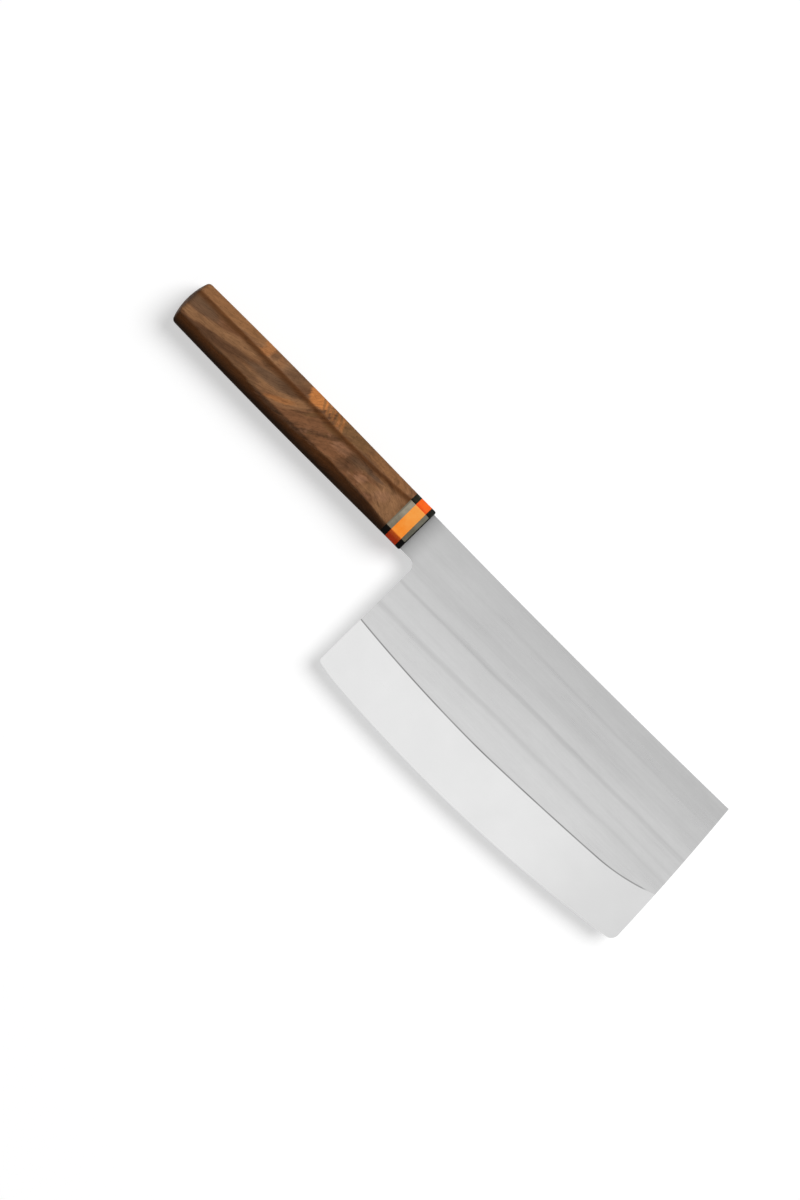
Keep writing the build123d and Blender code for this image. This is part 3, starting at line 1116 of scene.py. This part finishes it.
# columns of points from the spine down to the cutting edge, with a row on the shoulder line
def bladeSide(plan):
    bottom = walkCuttingEdge(plan)
    lengths = [0.0, *accumulate(dist(a, b) for a, b in zip(bottom, bottom[1:]))]
    spineCentre, spineRadius = circleThrough(plan["neckTop"], plan["spineMiddle"], plan["spineTip"])
    frontCentre, frontRadius = circleThrough(plan["spineTip"], plan["frontMiddle"], plan["frontFoot"])
    side = 1 if spineCentre[1] < 0 else -1
    heelX = plan["heelFoot"][0]
    tipX, tipY = plan["spineTip"]
    endX, endY = bottom[-1]

    def spineY(x):
        return spineCentre[1] + side * sqrt(spineRadius**2 - (x - spineCentre[0]) ** 2)

    def place(column, v):
        w = lengths[column] / lengths[-1]
        topX = heelX + (tipX - heelX) * w
        topY = spineY(topX)
        lastX, lastY = tipX + (endX - tipX) * v, tipY + (endY - tipY) * v
        bulge = frontCentre[0] + sqrt(frontRadius**2 - (lastY - frontCentre[1]) ** 2) - lastX
        x = topX + (bottom[column][0] - topX) * v
        return x + bulge * w, topY + (bottom[column][1] - topY) * v

    def whereDistance(column, wanted):
        low, high = 0.3, 1.0
        for _ in range(36):
            middle = (low + high) / 2
            if grindDistance(place(column, middle)) < wanted:
                low = middle
            else:
                high = middle
        return high

    columns = []
    for column in range(len(bottom)):
        grindStart = whereDistance(column, 0.0)
        rows = [grindStart * i / plan["flatRows"] for i in range(plan["flatRows"] + 1)]
        for i in range(1, plan["stepRows"] + 1):
            rows.append(whereDistance(column, plan["stepWidth"] * i / plan["stepRows"]))
        foot = rows[-1]
        rows += [foot + (1 - foot) * i / plan["grindRows"] for i in range(1, plan["grindRows"] + 1)]
        columns.append([place(column, v) for v in rows])
    return columns, walkArc(spineCentre, plan["neckTop"], (heelX, spineY(heelX)), 6)[:-1]


def makeBlade(plan):
    columns, spineRun = bladeSide(plan)
    bm = bmesh.new()
    easing = bm.edges.layers.float.new("bevel_weight_edge")
    distance = bm.verts.layers.float.new("grindDistance")
    flow = bm.loops.layers.uv.new("flow")

    def addPoint(point, height):
        return bm.verts.new((point[0], point[1], height))

    grid = [[addPoint(p, halfThickness(plan, grindDistance(p))) for p in column] for column in columns]
    for left, right in zip(grid, grid[1:]):
        for row in range(len(left) - 1):
            bm.faces.new((left[row], left[row + 1], right[row + 1], right[row]))

    # neck: one level face between the heel line and the front ring
    half = plan["thickness"] / 2
    neckBottom = plan["neckBottom"]
    inner = (plan["heelFoot"][0], neckBottom[1])
    heelSide = [inner, (inner[0], inner[1] - 20)]
    fillet = roundCorner(heelSide, [inner, neckBottom], plan["neckFilletRadius"], plan["cornerSteps"])
    filletStart = min(grid[0], key=lambda v: abs(v.co.y - fillet[0][1]))
    filletStart.co.y = fillet[0][1]
    shared = grid[0][: grid[0].index(filletStart) + 1]
    filletVerts = [addPoint(p, half) for p in fillet[1:]]
    neckLow = addPoint(neckBottom, half)
    spineVerts = [addPoint(p, half) for p in spineRun]
    neckHigh = spineVerts[0]
    bm.faces.new(shared + filletVerts + [neckLow] + spineVerts)

    # the other side is its mirror image, and a wall joins the two along every open edge but the neck's end
    crisp = set()
    rim = [edge for edge in bm.edges if len(edge.link_faces) == 1]
    twin = {vert: bm.verts.new((vert.co.x, vert.co.y, -vert.co.z)) for vert in list(bm.verts)}
    for face in list(bm.faces):
        bm.faces.new([twin[v] for v in reversed(face.verts)])
    for edge in rim:
        a, b = edge.verts
        if {a, b} == {neckLow, neckHigh}:
            continue
        wall = bm.faces.new((a, twin[a], twin[b], b))
        eased = min(a.co.z, b.co.z) > half - 0.001   # the grind leaves its own corners crisp
        for rimEdge in wall.edges:
            if {v.co.z > 0 for v in rimEdge.verts} != {True, False}:
                rimEdge[easing] = float(eased)
                if not eased:
                    crisp.add(rimEdge)

    # tang: narrower and thinner than the neck
    rootHalf, endHalf = plan["tangRootWidth"] / 2, plan["tangEndWidth"] / 2
    tangHalf = plan["tangThickness"] / 2
    end = -plan["tangLength"]
    rootSide, endSide = [(end, endHalf), (0, rootHalf)], [(end, endHalf), (end, 0)]
    upperCorner = roundCorner(rootSide, endSide, plan["tangEndRadius"], plan["cornerSteps"])
    lowerCorner = [(x, -y) for x, y in reversed(upperCorner)]
    outline = [(0, rootHalf)] + upperCorner + lowerCorner + [(0, -rootHalf)]
    upper, lower = [[addPoint(p, height) for p in outline] for height in (tangHalf, -tangHalf)]
    bm.faces.new(upper)
    bm.faces.new(list(reversed(lower)))
    for i in range(len(outline) - 1):
        bm.faces.new((upper[i + 1], upper[i], lower[i], lower[i + 1]))
    collar = (neckHigh, neckLow, twin[neckLow], twin[neckHigh])
    root = (upper[0], upper[-1], lower[-1], lower[0])
    for i in range(4):
        j = (i + 1) % 4
        bm.faces.new((collar[i], collar[j], root[j], root[i]))

    # grind distance for the finish, and a flow map whose rows follow the spine, or in the grind the edge
    for vert in bm.verts:
        vert[distance] = max(-60.0, grindDistance(vert.co))
    grindLow = plan["shoulderLowest"][1]
    for face in bm.faces:
        face.smooth = True
        middle = face.calc_center_median()
        ground = middle.y < 0 and grindDistance(middle) > 0
        for loop in face.loops:
            x, y, _ = loop.vert.co
            across = grindLow - loop.vert[distance] if ground else y
            loop[flow].uv = (x / 100, across / 100)
    shoulderRow = plan["flatRows"]
    sharp = {frozenset((a[shoulderRow], b[shoulderRow])) for a, b in zip(grid, grid[1:])}
    sharp |= {frozenset(twin[v] for v in pair) for pair in sharp}
    for edge in bm.edges:
        edge.smooth = frozenset(edge.verts) not in sharp and edge not in crisp
    bmesh.ops.recalc_face_normals(bm, faces=bm.faces)
    for vert in bm.verts:
        vert.co = Vector((bladeStart, 0, midZ)) + vert.co * mm
    mesh = bpy.data.meshes.new("bladePlate")
    bm.to_mesh(mesh)
    bm.free()
    mesh.materials.append(steelMaterial)
    piece = linkPiece("bladePlate", mesh)
    bevel = piece.modifiers.new("spineEasing", "BEVEL")
    bevel.limit_method = "WEIGHT"
    bevel.width = plan["spineEasing"] * mm
    bevel.segments = 3
    return bakeModifiers(piece)


blade = makeBlade(bladePlan)
print("blade made,", len(blade.data.polygons), "faces")
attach(blade, "root")
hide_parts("blade")


# the dowel and the bedding keep their CAD shapes, with finishes of their own
for node, material in innerFinishes.items():
    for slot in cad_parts[node].material_slots:
        slot.material = material
print("inner pieces finished")


# floor and light
floorPlan = {
    "halfSize": 3.0,
    "level": -0.02 * mm,              # a hair below the handle, so that the two never share a plane
    "color": (0.53, 0.53, 0.53, 1),
    "roughness": 0.9,
    "lift": 0.54,                     # what the camera and polished faces see added, for a white floor
}


# one where the camera sees it straight, in a polished face or through a clear one, else none
def seenByCamera(tree):
    rays = addNode(tree, "ShaderNodeLightPath").outputs
    kinds = ("Is Camera Ray", "Is Glossy Ray", "Is Transmission Ray")
    straight, mirrored, through = [Wire(rays[kind]) for kind in kinds]
    return calc("MAXIMUM", calc("MAXIMUM", straight, mirrored), through)


def makeFloor(plan):
    size, level = plan["halfSize"], plan["level"]
    mesh = bpy.data.meshes.new("floor")
    corners = [(-size, -size, level), (size, -size, level), (size, size, level), (-size, size, level)]
    mesh.from_pydata(corners, [], [(0, 1, 2, 3)])
    floor = linkPiece("floor", mesh)
    material = bpy.data.materials.new("floorPaper")
    material.use_nodes = True
    fillNamed(material.node_tree.nodes["Principled BSDF"].inputs, {
        "Base Color": plan["color"],
        "Roughness": plan["roughness"],
        "Specular IOR Level": 0.0,
        "Emission Color": (1, 1, 1, 1),
        "Emission Strength": seenByCamera(material.node_tree) * plan["lift"],
    })
    mesh.materials.append(material)


lightPlan = {
    "worldSeen": 1.0,
    "worldLight": 0.15,
    "towards": (0.49, 0.78, 1.2),     # from the object to the key and to the sheen panel
    "keyStrength": 2.46,
    "keyWidth": 36.0,                 # degrees across, as a large softbox
    "sheenDistance": 2.0,             # the panel that polished surfaces and steel pick up
    "sheenSize": 1.2,
    "sheenPower": 6.8,
}


def makeLight(plan):
    world = bpy.data.worlds.new("studio")
    bpy.context.scene.world = world
    world.use_nodes = True
    fillNamed(world.node_tree.nodes["Background"].inputs, {
        "Color": (1, 1, 1, 1),
        "Strength": remap(seenByCamera(world.node_tree), 0, 1, plan["worldLight"], plan["worldSeen"]),
    })
    towards = Vector(plan["towards"]).normalized()
    key = bpy.data.lights.new("keyLight", "SUN")
    key.energy = plan["keyStrength"]
    key.angle = radians(plan["keyWidth"])
    sheen = bpy.data.lights.new("sheenPanel", "AREA")
    sheen.size = plan["sheenSize"]
    sheen.energy = plan["sheenPower"]
    for data in (key, sheen):
        light = bpy.data.objects.new(data.name, data)
        light.location = towards * plan["sheenDistance"]
        light.rotation_euler = (-towards).to_track_quat("-Z", "Y").to_euler()
        light.visible_camera = False
        light.visible_glossy = data == sheen
        bpy.context.scene.collection.objects.link(light)


makeFloor(floorPlan)
makeLight(lightPlan)
bpy.context.scene.view_settings.view_transform = "Standard"
print("floor and light placed")
